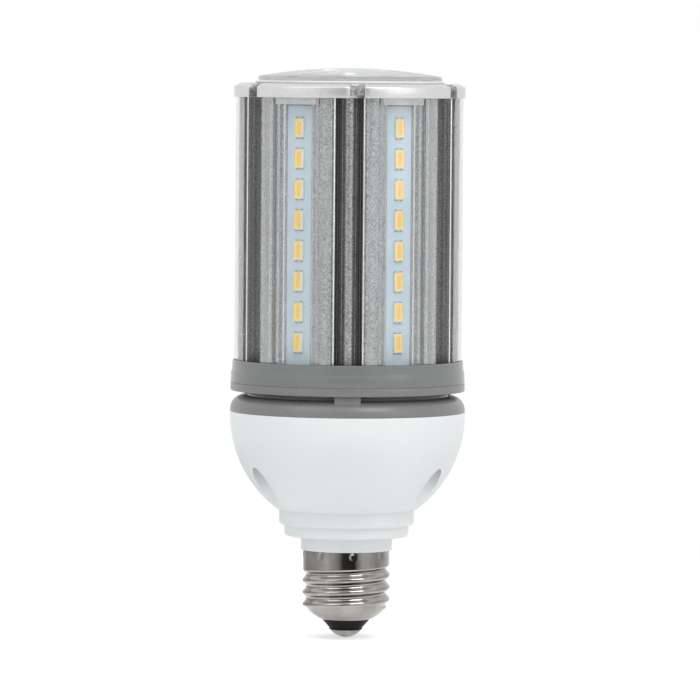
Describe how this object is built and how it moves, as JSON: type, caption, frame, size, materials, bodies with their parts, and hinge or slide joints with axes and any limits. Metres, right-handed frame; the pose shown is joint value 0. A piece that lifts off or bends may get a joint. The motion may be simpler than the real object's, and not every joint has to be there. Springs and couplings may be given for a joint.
{
  "type": "led light bulb",
  "caption": "Column-shaped LED lamp: slotted aluminium heat sink with LED strips behind clear curved covers, domed top, round white driver housing and screw base.",
  "frame": {"origin": "tip of the contact at the bottom of the screw base, on the lamp's axis", "axes": "+Z along the lamp's axis from the screw base to the dome, front of the picture at -Y"},
  "size_m": [0.07, 0.07, 0.1697],
  "materials": {
    "contact": "dull tinned",
    "insulator": "dark glassy",
    "shell": "bright nickel plate",
    "white_housing": "satin moulded",
    "grey_plastic": "satin moulded",
    "extrusion": "raw extruded, matt",
    "cap": "satin, blasted",
    "clear_plastic": "clear",
    "led_board": "pale solder mask",
    "led_package": "white moulded",
    "phosphor": "soft yellow gel",
    "screw": "zinc plated",
    "driver_board": "green laminate",
    "ferrite": "dark ferrite",
    "capacitor": "shrink sleeve",
    "lead": "white insulation"
  },
  "bodies": {
    "root": {"base_contact": "contact", "base_insulator": "insulator", "base_shell": "shell", "driver_housing": "white_housing", "driver_lid": "grey_plastic", "collar_base": "grey_plastic", "collar": "grey_plastic", "heat_sink": "extrusion", "top_cap": "cap", "top_lens": "clear_plastic", "top_board": "led_board", "top_packages": "led_package", "top_phosphor": "phosphor", "housing_screws": "screw", "heat_sink_screws": "screw", "cap_screws": "screw", "driver_board": "driver_board", "transformer": "ferrite", "capacitor": "capacitor", "choke": "ferrite", "live_lead": "lead", "neutral_lead": "lead", "dc_leads": "lead", "led_board_1": "led_board", "led_packages_1": "led_package", "led_phosphor_1": "phosphor", "led_cover_1": "clear_plastic", "led_board_2": "led_board", "led_packages_2": "led_package", "led_phosphor_2": "phosphor", "led_cover_2": "clear_plastic", "led_board_3": "led_board", "led_packages_3": "led_package", "led_phosphor_3": "phosphor", "led_cover_3": "clear_plastic", "led_board_4": "led_board", "led_packages_4": "led_package", "led_phosphor_4": "phosphor", "led_cover_4": "clear_plastic", "led_board_5": "led_board", "led_packages_5": "led_package", "led_phosphor_5": "phosphor", "led_cover_5": "clear_plastic", "led_board_6": "led_board", "led_packages_6": "led_package", "led_phosphor_6": "phosphor", "led_cover_6": "clear_plastic"}
  },
  "joints": []
}
